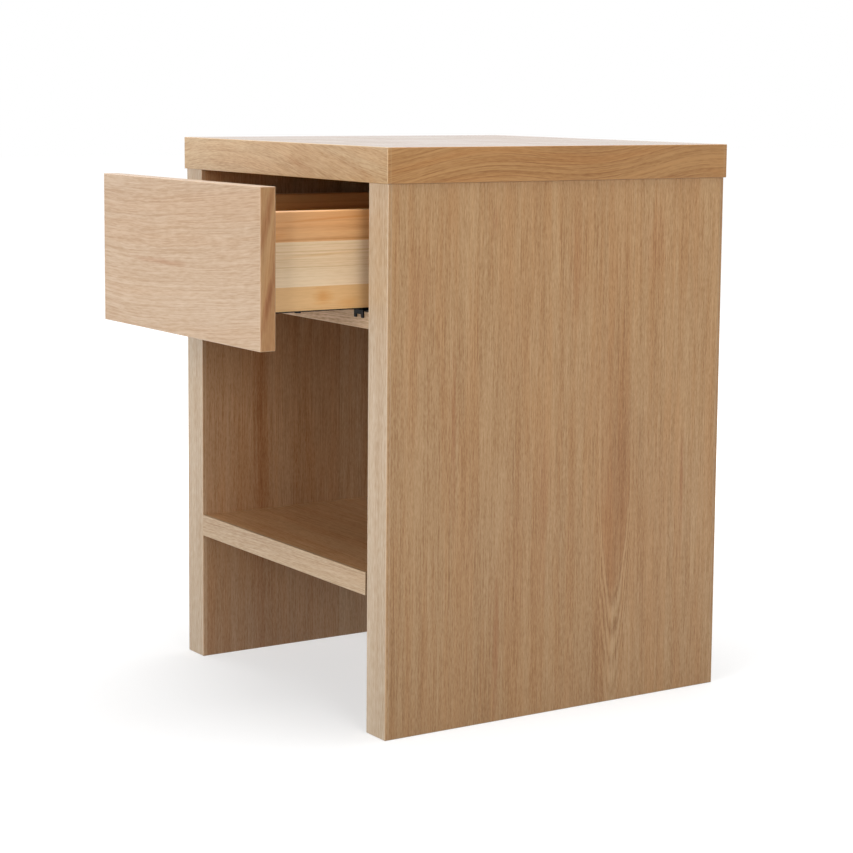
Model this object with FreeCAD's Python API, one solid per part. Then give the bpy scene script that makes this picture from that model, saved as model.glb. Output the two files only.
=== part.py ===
import FreeCAD, Part
import os

V = FreeCAD.Vector

# Oak nightstand: a thick top on two full-height side panels, one drawer with a
# plain front that is pulled by its lower edge, an open shelf below it and open
# floor space under the shelf. Millimetres, +Z up, +X to the right, +Y to the back.
# Every piece is drawn with the drawer shut and the carcass centred on X and Y.
# The drawer and its ball cages are then drawn forward to where they stand at rest.

# Carcass
inner_width = 330.0          # clear width between the side panels
panel_thickness = 33.0
panel_height = 517.0
carcass_depth = 396.0
top_thickness = 33.0
top_overhang = 2.0           # the top stands this far proud of the panels all round
lipping = 4.0                # solid oak strip on the front and back edges
side_lipping = 2.0           # thinner strip on the two short edges of the top
arris = 0.8                  # rounding of every edge that a hand can reach

# Divider under the drawer, shelf and back
drawer_opening = 122.5       # height of the opening between the divider and the top
divider_thickness = 16.0
closing_gap = 2.5            # from the shut drawer front to the divider's front edge
shelf_underside = 131.0
shelf_thickness = 22.0
shelf_play = 3.0             # the shelf is this much shorter than the clear width
shelf_back_gap = 1.0
back_thickness = 5.0
back_inset = 10.0            # from the panels' back edges to the back panel
groove_depth = 6.0
groove_play = 0.1            # beside each face of a panel that stands in a groove
groove_end_gap = 0.5         # beyond the edge of a panel that stands in a groove

# Pegs, pins and screws
dowel_radius = 4.0
top_dowel_length = 40.0
top_dowel_from_edge = 60.0   # from the panel's front and back edges
divider_dowel_length = 30.0
divider_dowel_from_edge = 60.0
divider_dowel_off_middle = 40.0
box_dowel_radius = 3.0
box_dowel_length = 24.0
box_dowel_in_side = 8.0      # depth of a box dowel in the side board
fit_play = 0.05              # round a dowel, a pin or a screw
hole_end_gap = 1.0           # empty end of a blind hole
pin_radius = 2.5
pin_nose_radius = 3.0
pin_depth = 9.0
pin_reach = 8.0              # how far a shelf pin stands out of the panel
pin_from_edge = 45.0         # from the shelf's front and back edges
screw_radius = 1.75
screw_head_radius = 3.5
screw_head_height = 1.9
screw_point = 3.0
low_head_height = 1.2        # flat head of the screws that hold the runners
low_head_radius = 3.0
back_screw_length = 25.0
back_screw_spread = 110.0    # from the middle screw to the outer ones
front_screw_length = 24.0    # through the box front into the drawer front
front_screw_spread = 92.0
bottom_screw_length = 22.0   # up through the drawer bottom into the box back
bottom_screw_spread = 70.0
cabinet_screw_length = 12.0
drawer_rail_screw_length = 12.0
rail_screw_from_end = 35.0   # from the rails' ends to their outer screws

# Drawer
front_thickness = 16.0
front_height = 148.0
front_side_gap = 2.5
front_top_gap = 2.0
drawer_back_room = 15.0      # from the drawer box to the back panel
box_side_gap = 18.0          # from a side panel to the drawer's side board
box_lift = 6.0               # from the divider up to the drawer's side boards
board_thickness = 12.0       # pine boards of the drawer box
lower_stave = 22.0           # the boards are glued up from three staves
middle_stave = 41.0
upper_stave = 28.0
board_edge = 1.5             # rounding of the box's upper edges
bottom_thickness = 5.0
bottom_recess = 12.5         # from the side boards' lower edges to the drawer bottom
bottom_groove = 5.0
drawer_open = 112.0          # how far the drawer stands open at rest

# Ball-bearing runner under each side of the drawer
sheet = 1.2                  # thickness of both steel rails
rail_from_side = 15.5        # from the side board's inner face to a rail's middle
rail_wall_gap = 1.0          # from the side panel to the cabinet rail
rail_edge_gap = 1.0          # the drawer rail's flange is this much short of the side board
upright_width = 8.0          # hat-shaped upright of the cabinet rail
web_gap = 1.0                # from the drawer bottom down to the drawer rail
web_clearance = 2.0          # from the drawer rail down to the upright
foot_width = 6.0             # inner foot of the cabinet rail
race_gap = 2.2               # between the upright and the drawer rail's legs
race_lift = 9.0              # from the divider to the ball centres
race_depth = 0.45
ball_radius = 1.5
ball_play = 0.05             # between a ball and the bottom of its race
race_play = 0.15             # a race's radius is this much more than a ball's
pocket_play = 0.1            # between a ball and its hole in the cage
balls_in_row = 4
cage_sheet = 0.5
cage_drop = 2.4              # from the ball centres to the cage's lower edges
runner_travel = 250.0
stop_gap = 0.5               # left between cage and stop with the drawer right out
stop_clearance = 0.5         # between a stop and the rail that runs over it
stop_length = 1.5
bumper_length = 7.0          # its back is flush with the cabinet rail's back end
bumper_gap = 0.3
fork_width = 16.5            # tongue of the cabinet rail, folded down over the divider
fork_drop = 3.0
prong_width = 4.0
prong_drop = 3.2
notch_play = 0.5             # round the runner where the box front is notched for it

# Places that follow from the sizes above
half_inner = inner_width / 2
half_outer = half_inner + panel_thickness
front_y = -carcass_depth / 2
back_y = carcass_depth / 2
divider_top = panel_height - drawer_opening
divider_bottom = divider_top - divider_thickness
divider_front = front_y + front_thickness + closing_gap
divider_middle = (divider_top + divider_bottom) / 2
back_rear = back_y - back_inset
back_face = back_rear - back_thickness
shelf_top = shelf_underside + shelf_thickness
shelf_back = back_face - shelf_back_gap

box_half = half_inner - box_side_gap
box_inner = box_half - board_thickness
box_front = front_y + front_thickness
box_back = back_face - drawer_back_room
box_length = box_back - box_front
box_low = divider_top + box_lift
box_seams = (box_low, box_low + lower_stave, box_low + lower_stave + middle_stave,
             box_low + lower_stave + middle_stave + upper_stave)
box_high = box_seams[-1]
bottom_low = box_low + bottom_recess
bottom_high = bottom_low + bottom_thickness

rail_half = upright_width / 2 + race_gap + sheet
rail_x = box_inner - rail_from_side
bumper_front = box_back + bumper_gap
rail_back = bumper_front + bumper_length
rail_length = rail_back - divider_front
rail_base = divider_top + sheet
web_top = bottom_low - web_gap
upright_top = web_top - sheet - web_clearance
flange_low = box_low - sheet
race_z = divider_top + race_lift
race_x = (upright_width + race_gap) / 2
race_radius = ball_radius + race_play
cage_top = upright_top + (web_clearance + cage_sheet) / 2
stop_back = divider_front + stop_length
cage_room = box_back - stop_length - stop_back
cage_length = cage_room - runner_travel - 2 * stop_gap
cage_start = stop_back + (cage_room - cage_length) / 2

pieces = {}


def box(low, high):
    size = [h - l for l, h in zip(low, high)]
    return Part.makeBox(*size, V(*low))


def rod(start, direction, radius, length):
    return Part.makeCylinder(radius, length, V(*start), V(*direction))


def between(form, axis, low, high):
    """The stretch of a form between two planes square to axis 0, 1 or 2."""
    bounds = form.BoundBox
    near = [bounds.XMin - arris, bounds.YMin - arris, bounds.ZMin - arris]
    far = [bounds.XMax + arris, bounds.YMax + arris, bounds.ZMax + arris]
    near[axis], far[axis] = low, high
    return form.common(box(near, far)).Solids[0]


def rounded(form, radius, wanted):
    """Rounds the edges whose bounding box the test accepts."""
    return form.makeFillet(radius, [e for e in form.Edges if wanted(e.BoundBox)])


def less(form, tools):
    """A form with every tool cut out of it."""
    for tool in tools:
        form = form.cut(tool)
    return form.Solids[0]


def mirrored(form):
    return form.mirror(V(0, 0, 0), V(1, 0, 0))


def both_sides(forms):
    return forms + [mirrored(form) for form in forms]


def drawn_out(points, depth, start_y):
    """A closed outline in X and Z, drawn out along +Y."""
    outline = [V(x, start_y, z) for x, z in points]
    face = Part.Face(Part.makePolygon(outline + outline[:1]))
    return face.extrude(V(0, depth, 0))


def screw(seat, tip_way, length, low_head=False, play=0.0):
    """A screw whose point looks along tip_way; play makes it the hole for the screw.

    A countersunk head lies below the seat, and a low head stands on it."""
    shank = screw_radius + play
    if low_head:
        head = low_head_radius + play
        outline = [(0, -low_head_height), (head, -low_head_height), (head, 0), (shank, 0)]
    else:
        outline = [(0, 0), (screw_head_radius + play, 0), (shank, screw_head_height)]
    outline += [(shank, length - screw_point), (0, length + play)]
    wire = Part.makePolygon([V(r, 0, z) for r, z in outline + outline[:1]])
    turned = Part.Face(wire).revolve(V(0, 0, 0), V(0, 0, 1), 360)
    turned.Placement = FreeCAD.Placement(V(*seat), FreeCAD.Rotation(V(0, 0, 1), V(*tip_way)))
    return turned


def screws_and_holes(seats, tip_way, length, low_head=False):
    made = [screw(seat, tip_way, length, low_head) for seat in seats]
    holes = [screw(seat, tip_way, length, low_head, fit_play) for seat in seats]
    return made, holes


def pegs_and_holes(places, direction, radius, length, behind):
    """Dowels that start this far behind each place, and the holes they stand in."""
    way = V(*direction)
    pegs, holes = [], []
    for place in places:
        start = V(*place) - way * behind
        mouth = start - way * hole_end_gap
        pegs.append(rod(start, direction, radius, length))
        holes.append(rod(mouth, direction, radius + fit_play, length + 2 * hole_end_gap))
    return pegs, holes


# Joints of the carcass
panel_middle = half_inner + panel_thickness / 2
top_dowel_ys = (front_y + top_dowel_from_edge, 0, back_y - top_dowel_from_edge)
top_pegs, top_holes = pegs_and_holes([(panel_middle, y, panel_height) for y in top_dowel_ys],
                                     (0, 0, 1), dowel_radius, top_dowel_length,
                                     top_dowel_length / 2)
divider_dowel_ys = (divider_front + divider_dowel_from_edge, divider_dowel_off_middle,
                    back_face - divider_dowel_from_edge)
divider_pegs, divider_holes = pegs_and_holes(
    [(half_inner, y, divider_middle) for y in divider_dowel_ys],
    (1, 0, 0), dowel_radius, divider_dowel_length, divider_dowel_length / 2)
back_screws, back_holes = screws_and_holes(
    [(x, back_rear, divider_middle) for x in (-back_screw_spread, 0, back_screw_spread)],
    (0, -1, 0), back_screw_length)
cabinet_screw_ys = (divider_front + rail_screw_from_end, 0, rail_back - rail_screw_from_end)
cabinet_screws, cabinet_screw_holes = screws_and_holes(
    [((box_half + half_inner) / 2, y, rail_base) for y in cabinet_screw_ys],
    (0, 0, -1), cabinet_screw_length, low_head=True)
pin_z = shelf_underside - pin_nose_radius
pin_ys = (front_y + pin_from_edge, shelf_back - pin_from_edge)

# Joints of the drawer
middle_z = (box_seams[1] + box_seams[2]) / 2
upper_z = (box_seams[2] + box_seams[3]) / 2
box_front_inner = box_front + board_thickness
box_back_inner = box_back - board_thickness
box_end_ys = (box_front + board_thickness / 2, box_back - board_thickness / 2)
box_pegs, box_holes = pegs_and_holes(
    [(box_inner, y, z) for y in box_end_ys for z in (middle_z, upper_z)],
    (1, 0, 0), box_dowel_radius, box_dowel_length, box_dowel_length - box_dowel_in_side)
front_screws, front_holes = screws_and_holes(
    [(x, box_front_inner, z) for x in (-front_screw_spread, front_screw_spread)
     for z in (middle_z, upper_z)], (0, -1, 0), front_screw_length)
bottom_screws, bottom_holes = screws_and_holes(
    [(x, box_end_ys[1], bottom_low) for x in (-bottom_screw_spread, 0, bottom_screw_spread)],
    (0, 0, 1), bottom_screw_length)
drawer_rail_screw_ys = (box_front + rail_screw_from_end, (box_front + box_back) / 2,
                        box_back - rail_screw_from_end)
rail_screws, rail_holes = screws_and_holes(
    [((box_half + box_inner) / 2, y, flange_low) for y in drawer_rail_screw_ys],
    (0, 0, 1), drawer_rail_screw_length, low_head=True)


def back_groove():
    """The space that the back panel takes in the top and the side panels."""
    reach = half_inner + groove_depth
    low = (-reach, back_face - groove_play, shelf_underside - groove_end_gap)
    return box(low, (reach, back_rear + groove_play, panel_height + groove_depth))


def make_top():
    """A thick slab with lipped edges that overhangs the carcass on every side."""
    reach = half_outer + top_overhang
    low = (-reach, front_y - top_overhang, panel_height)
    high = (reach, back_y + top_overhang, panel_height + top_thickness)
    slab = box(low, high)
    slab = slab.makeFillet(arris, slab.Edges)
    field = between(slab, 1, low[1] + lipping, high[1] - lipping)
    core = between(field, 0, -reach + side_lipping, reach - side_lipping)
    pieces["top_panel"] = [less(core, both_sides(top_holes) + [back_groove()])]
    pieces["top_front_lipping"] = [between(slab, 1, low[1], low[1] + lipping)]
    pieces["top_back_lipping"] = [between(slab, 1, high[1] - lipping, high[1])]
    pieces["top_lipping_left"] = [between(field, 0, -reach, -reach + side_lipping)]
    pieces["top_lipping_right"] = [between(field, 0, reach - side_lipping, reach)]
    pieces["top_dowels"] = both_sides(top_pegs)


def make_side_panels():
    """Two full-height panels with lipped front and back edges, standing on the floor."""
    panel = box((half_inner, front_y, 0), (half_outer, back_y, panel_height))
    panel = rounded(panel, arris, lambda b: b.ZMin < arris
                    and (b.ZLength < arris or abs(b.Center.y) > back_y - arris))
    pin_holes = [rod((half_inner, y, pin_z), (1, 0, 0), pin_radius + fit_play,
                     pin_depth + hole_end_gap) for y in pin_ys]
    cuts = top_holes + divider_holes + pin_holes + [back_groove()]
    core = less(between(panel, 1, front_y + lipping, back_y - lipping), cuts)
    front = between(panel, 1, front_y, front_y + lipping)
    back = between(panel, 1, back_y - lipping, back_y)
    for part, form in (("", core), ("_front_lipping", front), ("_back_lipping", back)):
        pieces["side_panel_right" + part] = [form]
        pieces["side_panel_left" + part] = [mirrored(form)]


def make_divider():
    """The board that the runners stand on, set back behind the drawer front."""
    board = box((-half_inner, divider_front, divider_bottom),
                (half_inner, back_face, divider_top))
    board = rounded(board, arris, lambda b: b.YMax < divider_front + arris
                    and b.ZLength < arris)
    core = between(board, 1, divider_front + lipping, back_face)
    cuts = both_sides(divider_holes + cabinet_screw_holes) + back_holes
    pieces["divider_board"] = [less(core, cuts)]
    pieces["divider_lipping"] = [between(board, 1, divider_front, divider_front + lipping)]
    pieces["divider_dowels"] = both_sides(divider_pegs)


def make_shelf():
    """A loose shelf on four pins, with all of its play at the right-hand end."""
    board = box((-half_inner, front_y, shelf_underside),
                (half_inner - shelf_play, shelf_back, shelf_top))
    board = rounded(board, arris, lambda b: b.YMax < front_y + arris and b.ZLength < arris)
    pieces["shelf_board"] = [between(board, 1, front_y + lipping, shelf_back)]
    pieces["shelf_lipping"] = [between(board, 1, front_y, front_y + lipping)]
    pins = []
    for y in pin_ys:
        nose = rod((half_inner, y, pin_z), (-1, 0, 0), pin_nose_radius, pin_reach)
        end = [e for e in nose.Edges if e.BoundBox.XMax < half_inner - arris]
        nose = nose.makeChamfer(arris, end)
        shank = rod((half_inner, y, pin_z), (1, 0, 0), pin_radius, pin_depth)
        pins.append(nose.fuse(shank).Solids[0])
    pieces["shelf_pins"] = both_sides(pins)


def make_back():
    """A thin back behind the drawer and the shelf; the floor space stays open."""
    reach = half_inner + groove_depth - groove_end_gap
    top = panel_height + groove_depth - groove_end_gap
    panel = box((-reach, back_face, shelf_underside), (reach, back_rear, top))
    pieces["back_panel"] = [less(panel, back_holes)]
    pieces["back_screws"] = back_screws


def glued_board(name, low, high, seams, cuts):
    """An upright board of glued staves with its upper edges eased, one piece a stave."""
    form = box((low[0], low[1], seams[0]), (high[0], high[1], seams[-1]))
    form = rounded(form, board_edge, lambda b: b.ZMin > seams[-1] - arris
                   and b.DiagonalLength > board_thickness + arris)
    staves = ("lower", "middle", "upper") if len(seams) == 4 else ("lower", "upper")
    for stave, stave_low, stave_high in zip(staves, seams, seams[1:]):
        part = less(between(form, 2, stave_low, stave_high), cuts)
        pieces[name + "_" + stave + "_stave"] = [part]


def make_drawer_box():
    """Four pine boards dowelled at the corners, round a bottom that stands in grooves."""
    reach = box_inner + bottom_groove
    groove = box((-reach, box_front_inner - bottom_groove, bottom_low - groove_play),
                 (reach, box_back, bottom_high + groove_play))
    dowel_holes = both_sides(box_holes)

    glued_board("drawer_side_right", (box_inner, box_front), (box_half, box_back), box_seams,
                box_holes + rail_holes + [groove])
    for stave in ("lower", "middle", "upper"):
        right = pieces["drawer_side_right_" + stave + "_stave"][0]
        pieces["drawer_side_left_" + stave + "_stave"] = [mirrored(right)]

    room = rail_half + notch_play
    notch = box((rail_x - room, box_front, box_low), (rail_x + room, box_front_inner, bottom_low))
    flange_notch = box((rail_x, box_front, box_low),
                       (box_inner, box_front_inner, box_low + notch_play))
    glued_board("drawer_box_front", (-box_inner, box_front), (box_inner, box_front_inner),
                box_seams, dowel_holes + front_holes + [groove]
                + both_sides([notch, flange_notch]))
    back_seams = (bottom_high, middle_z, box_high)
    glued_board("drawer_box_back", (-box_inner, box_back_inner), (box_inner, box_back),
                back_seams, dowel_holes + bottom_holes)
    pieces["drawer_box_dowels"] = both_sides(box_pegs)

    slip = bottom_groove - groove_end_gap
    bottom = box((-box_inner - slip, box_front_inner - slip, bottom_low),
                 (box_inner + slip, box_back, bottom_high))
    pieces["drawer_bottom"] = [less(bottom, bottom_holes)]
    pieces["drawer_bottom_screws"] = bottom_screws


def make_drawer_front():
    """A plain inset front that hangs below the divider, to be pulled by its lower edge."""
    half = half_inner - front_side_gap
    high = panel_height - front_top_gap
    form = box((-half, front_y, high - front_height), (half, box_front, high))
    form = form.makeFillet(arris, form.Edges)
    pieces["drawer_front"] = [less(form, front_holes)]
    pieces["drawer_front_screws"] = front_screws


def races(first_y, length, from_middle):
    """The two round grooves of a rail that its rows of balls run in."""
    return [rod((rail_x + side * from_middle, first_y, race_z), (0, 1, 0), race_radius, length)
            for side in (-1, 1)]


def make_cabinet_rails():
    """A hat-shaped rail on the divider; a forked tongue holds it by the front edge."""
    half = upright_width / 2
    outline = [(half_inner - rail_wall_gap, divider_top), (half_inner - rail_wall_gap, rail_base),
               (rail_x + half, rail_base), (rail_x + half, upright_top),
               (rail_x - half, upright_top), (rail_x - half, rail_base),
               (rail_x - half - foot_width, rail_base), (rail_x - half - foot_width, divider_top),
               (rail_x - half + sheet, divider_top), (rail_x - half + sheet, upright_top - sheet),
               (rail_x + half - sheet, upright_top - sheet), (rail_x + half - sheet, divider_top)]
    rail = drawn_out(outline, rail_length, divider_front)
    rail = rounded(rail, arris, lambda b: b.YLength > rail_length / 2
                   and b.ZMin > upright_top - arris)
    grooves = races(divider_front, rail_length, half - race_depth + race_radius)
    rail = less(rail, grooves + cabinet_screw_holes)

    tongue_front = divider_front - sheet
    fork_low = divider_top - fork_drop
    left, right = rail_x - fork_width / 2, rail_x + fork_width / 2
    tongue = box((left, tongue_front, fork_low), (right, divider_front, rail_base))
    prongs = [box((x, tongue_front, fork_low - prong_drop), (x + prong_width, divider_front, fork_low))
              for x in (left, right - prong_width)]
    stop = box((rail_x - half + sheet, divider_front, upright_top - sheet),
               (rail_x + half - sheet, stop_back, web_top - sheet - stop_clearance))
    rail = rail.fuse([stop, tongue] + prongs).removeSplitter().Solids[0]
    pieces["cabinet_rail_right"] = [rail]
    pieces["cabinet_rail_left"] = [mirrored(rail)]
    pieces["cabinet_rail_screws"] = both_sides(cabinet_screws)


def make_drawer_rails():
    """A channel over the balls, folded out to a flange under the drawer's side board."""
    outer, inner = rail_half, rail_half - sheet
    edge = box_half - rail_edge_gap
    web_low = web_top - sheet
    outline = [(rail_x - outer, flange_low), (rail_x - outer, web_top),
               (rail_x + outer, web_top), (rail_x + outer, box_low), (edge, box_low),
               (edge, flange_low), (rail_x + inner, flange_low), (rail_x + inner, web_low),
               (rail_x - inner, web_low), (rail_x - inner, flange_low)]
    rail = drawn_out(outline, box_length, box_front)
    rail = rounded(rail, arris, lambda b: b.YLength > box_length / 2
                   and b.ZMin > web_top - arris)
    grooves = races(box_front, box_length, inner + race_depth - race_radius)
    rail = less(rail, grooves + rail_holes)
    half = upright_width / 2 - sheet
    stop = box((rail_x - half, box_back - stop_length, upright_top + stop_clearance),
               (rail_x + half, box_back, web_low))
    rail = rail.fuse(stop).removeSplitter().Solids[0]
    pieces["drawer_rail_right"] = [rail]
    pieces["drawer_rail_left"] = [mirrored(rail)]
    pieces["drawer_rail_screws"] = both_sides(rail_screws)


def make_ball_cages():
    """A bent strip that spaces the balls of both rows, and the balls."""
    outer, inner = race_x + cage_sheet / 2, race_x - cage_sheet / 2
    low = race_z - cage_drop
    outline = [(rail_x - outer, low), (rail_x - outer, cage_top), (rail_x + outer, cage_top),
               (rail_x + outer, low), (rail_x + inner, low),
               (rail_x + inner, cage_top - cage_sheet), (rail_x - inner, cage_top - cage_sheet),
               (rail_x - inner, low)]
    cage = drawn_out(outline, cage_length, cage_start)
    pitch = cage_length / balls_in_row
    ball_ys = [cage_start + pitch * (i + 0.5) for i in range(balls_in_row)]
    pockets = [rod((rail_x - rail_half, y, race_z), (1, 0, 0), ball_radius + pocket_play,
                   2 * rail_half) for y in ball_ys]
    balls = [Part.makeSphere(ball_radius, V(rail_x + side * race_x, y, race_z))
             for side in (-1, 1) for y in ball_ys]
    pieces["ball_cage_right"] = [less(cage, pockets)]
    pieces["ball_cage_left"] = [mirrored(pieces["ball_cage_right"][0])]
    pieces["runner_balls_right"] = balls
    pieces["runner_balls_left"] = [mirrored(ball) for ball in balls]


def make_bumpers():
    """A plastic cap over the back end of each cabinet rail, which stops the drawer."""
    cap = box((rail_x - rail_half, bumper_front, rail_base),
              (rail_x + rail_half, bumper_front + bumper_length, web_top))
    half = upright_width / 2 + fit_play
    hollow = box((rail_x - half, bumper_front, divider_top),
                 (rail_x + half, rail_back + fit_play, upright_top + fit_play))
    pieces["closing_bumpers"] = both_sides([less(cap, [hollow])])


def write_pieces():
    """Draws the moving pieces forward, sets the origin and writes one file a piece.

    The origin is under the middle of the whole, with the drawer standing open."""
    os.makedirs("parts", exist_ok=True)
    to_origin = -(front_y - drawer_open + back_y + top_overhang) / 2
    for name, solids in pieces.items():
        forward = 0.0
        if name.startswith("drawer_"):
            forward = drawer_open
        elif name.startswith(("ball_cage", "runner_balls")):
            forward = drawer_open / 2
        shape = Part.Compound(solids) if len(solids) > 1 else solids[0].copy()
        shape.translate(V(0, to_origin - forward, 0))
        shape.exportStep("parts/" + name + ".step")


make_top()
make_side_panels()
make_divider()
make_shelf()
make_back()
make_drawer_box()
make_drawer_front()
make_cabinet_rails()
make_drawer_rails()
make_ball_cages()
make_bumpers()
write_pieces()
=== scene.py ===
import math

import bpy
from mathutils import Euler, Matrix, Vector


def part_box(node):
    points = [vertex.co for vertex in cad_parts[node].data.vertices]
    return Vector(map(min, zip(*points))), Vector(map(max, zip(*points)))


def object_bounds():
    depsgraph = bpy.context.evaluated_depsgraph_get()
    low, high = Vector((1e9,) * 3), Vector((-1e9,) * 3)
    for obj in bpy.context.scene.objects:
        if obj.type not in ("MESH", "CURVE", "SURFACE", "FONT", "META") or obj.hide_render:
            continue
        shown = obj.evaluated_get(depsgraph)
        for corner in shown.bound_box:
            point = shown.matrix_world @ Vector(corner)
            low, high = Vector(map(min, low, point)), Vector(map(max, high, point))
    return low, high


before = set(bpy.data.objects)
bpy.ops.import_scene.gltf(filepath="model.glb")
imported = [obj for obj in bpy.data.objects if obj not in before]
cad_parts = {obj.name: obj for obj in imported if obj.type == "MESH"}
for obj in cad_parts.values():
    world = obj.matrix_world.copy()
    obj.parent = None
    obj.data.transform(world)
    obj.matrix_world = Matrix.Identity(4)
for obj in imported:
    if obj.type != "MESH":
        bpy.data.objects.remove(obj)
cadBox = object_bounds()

print("nightstand: frame loaded,", len(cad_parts), "nodes")

metre = 1000                # in millimetres, which the wood's patterns are made in
nodeSpacing = (190, -170)   # of the nodes in the editor, across and down


# helpers for node trees

def put(tree, kind, column, row, ins=None, **settings):
    # one node at a grid place; an input takes a plain value or another node's output
    node = tree.nodes.new("ShaderNode" + kind)
    node.location = (column * nodeSpacing[0], row * nodeSpacing[1])
    for name, value in settings.items():
        setattr(node, name, value)
    for name, value in (ins or {}).items():
        if isinstance(value, bpy.types.NodeSocket):
            tree.links.new(value, node.inputs[name])
        else:
            node.inputs[name].default_value = value
    return node


def place(tree, group, column, row, ins):
    return put(tree, "Group", column, row, ins, node_tree=group).outputs


def calc(tree, operation, first, second, column, row):
    return put(tree, "Math", column, row, {0: first, 1: second}, operation=operation).outputs[0]


def vectorCalc(tree, operation, first, second, column, row):
    return put(tree, "VectorMath", column, row, {0: first, 1: second}, operation=operation).outputs[0]


def lengthOf(tree, vector, column, row):
    return put(tree, "VectorMath", column, row, {0: vector}, operation="LENGTH").outputs["Value"]


def scaled(tree, vector, scale, column, row):
    return put(tree, "VectorMath", column, row, {0: vector, "Scale": scale}, operation="SCALE").outputs[0]


def partsOf(tree, vector, column, row):
    return put(tree, "SeparateXYZ", column, row, {0: vector}).outputs


def joined(tree, x, y, z, column, row):
    return put(tree, "CombineXYZ", column, row, {"X": x, "Y": y, "Z": z}).outputs[0]


def reach(tree, value, fromMin, fromMax, toMin, toMax, column, row):
    # map range with its ends held
    node = put(tree, "MapRange", column, row, {"Value": value, "From Min": fromMin, "From Max": fromMax,
                                               "To Min": toMin, "To Max": toMax})
    return node.outputs["Result"]


def blend(tree, share, under, over, column, row, kind="MIX"):
    return put(tree, "Mix", column, row, {"Factor": share, 6: under, 7: over},
               data_type="RGBA", blend_type=kind).outputs[2]


def tinted(tree, share, colour, tint, column, row):
    return blend(tree, share, colour, tint + (1,), column, row, "MULTIPLY")


def gradient(tree, value, stops, column, row, interpolation="LINEAR"):
    # a colour ramp; each stop is a place from 0 to 1 and a colour
    node = put(tree, "ValToRGB", column, row, {"Fac": value})
    ramp = node.color_ramp
    ramp.interpolation = interpolation
    first, *between, last = stops
    for element, (at, colour) in zip(ramp.elements, (first, last)):
        element.position = at
        element.color = colour
    for at, colour in between:
        ramp.elements.new(at).color = colour
    return node.outputs[0]


def noiseIn(tree, vector, column, row, scale=1.0, detail=1.0, roughness=0.5, distortion=0.0):
    return put(tree, "TexNoise", column, row, {
        "Vector": vector, "Scale": scale, "Detail": detail, "Roughness": roughness,
        "Distortion": distortion}).outputs


def stretch(tree, vector, width, length, column, row):
    # squeezes a pattern so that its noise is this wide across the grain and this long along it
    across = calc(tree, "DIVIDE", 1.0, width, column, row)
    along = calc(tree, "DIVIDE", 1.0, length, column, row + 1)
    return vectorCalc(tree, "MULTIPLY", vector, joined(tree, across, across, along, column + 1, row),
                      column + 2, row)


def shifted(tree, vector, seed, column, row):
    # another part of the same noise, so that pieces with other seeds differ
    return vectorCalc(tree, "ADD", vector, joined(tree, seed, seed, seed, column, row), column + 1, row)


def newGroup(name, inputs, outputs):
    group = bpy.data.node_groups.new(name, "ShaderNodeTree")
    for direction, sockets in (("INPUT", inputs), ("OUTPUT", outputs)):
        for label, (kind, value) in sockets.items():
            socket = group.interface.new_socket(label, in_out=direction, socket_type="NodeSocket" + kind)
            if value is not None:
                socket.default_value = value
    source = group.nodes.new("NodeGroupInput")
    source.location = (-2 * nodeSpacing[0], 0)
    target = group.nodes.new("NodeGroupOutput")
    target.location = (25 * nodeSpacing[0], 0)
    return group, source.outputs, target.inputs


def newMaterial(name):
    material = bpy.data.materials.new(name)
    material.use_nodes = True
    material.node_tree.nodes.clear()
    return material, material.node_tree


def endWith(tree, shader, column):
    output = put(tree, "OutputMaterial", column, 0, {"Surface": shader.outputs[0]})
    output.is_active_output = True


# helpers for pieces and looks

def shade(tone, factors):
    return tuple(max(0.0, min(1.0, t * f)) for t, f in zip(tone, factors)) + (1.0,)


def middleOf(box):
    return [(low + high) / 2 for low, high in zip(*box)]


def dress(node, material):
    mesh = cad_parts[node].data
    if not mesh.materials:
        mesh.materials.append(material)
    for i in range(len(mesh.materials)):
        mesh.materials[i] = material


# what every wood look starts from; lengths are in mm, and places are from the piece's middle
oak = {
    "tone": (0.42, 0.25, 0.125),
    "darkness": (              # how dark the figure is, and what that makes of the tone
        (0.08, (1.22, 1.31, 1.46)), (0.5, (1.0, 1.0, 1.0)),
        (0.74, (0.84, 0.77, 0.675)), (0.95, (0.70, 0.585, 0.46))),
    "grain": "upright",
    "across": "Y",             # the pattern's direction across the face, where it carries streaks
    "pith": (90, 40),          # the heart of the log, across the grain
    "lean": (0.0, 0.0),        # how far the pith leans from the piece's length, in degrees
    "inward": 0.88,            # how much of the fibres' change into the wood is taken away
    "ringWidth": 5.0, "bend": 6.0, "bendLength": 160.0, "ripple": 0.8, "rippleLength": 30.0,
    "sway": 0.0, "swayLength": 500.0, "swayStart": 0.0,
    "fibreWidth": 1.0, "fibreLength": 9.0, "bandWidth": 30.0, "broken": 1.0,
    "rings": 0.3, "fibres": 0.7, "pores": 0.1, "bands": 0.3,   # shares of the figure
    "redness": 0.5, "redTint": (0.96, 0.81, 0.64),
    "paintedLightSlope": (0.0, 0.0, 0.0),  # painted light and shade: how much paler the board gets in a metre of the pattern's X, Y and Z
    "flame": (),               # tip, across, half width, length
    "flameTint": (0.89, 0.78, 0.67), "flameLines": 0.30,
    "leafWidth": 84.0, "leafStart": 0.0, "leafSeed": 0.0,
    "leafContrast": 0.0, "leafTint": (0.86, 0.72, 0.60),
    "seam": 0.0, "seamTint": (0.7, 0.6, 0.5),
    "streaks": (),             # each: along, across, length, height, slant and how strong
    "streakTint": (0.88, 0.64, 0.30),
    "roughness": (0.30, 0.44), "coat": 0.0, "coatRoughness": 0.12,
    "relief": 0.12, "reliefDepth": 0.0001,   # in metres
    "fibreHeight": 0.35, "peelHeight": 0.3,  # beside the depth of a pore
    "peelSize": 1.4,
    "edgeHighlight": 0.35, "edgeHighlightTint": (1.25, 1.30, 1.38), "edgeWidth": 0.0016,  # painted highlight along the arrises; the width in metres
}

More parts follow.
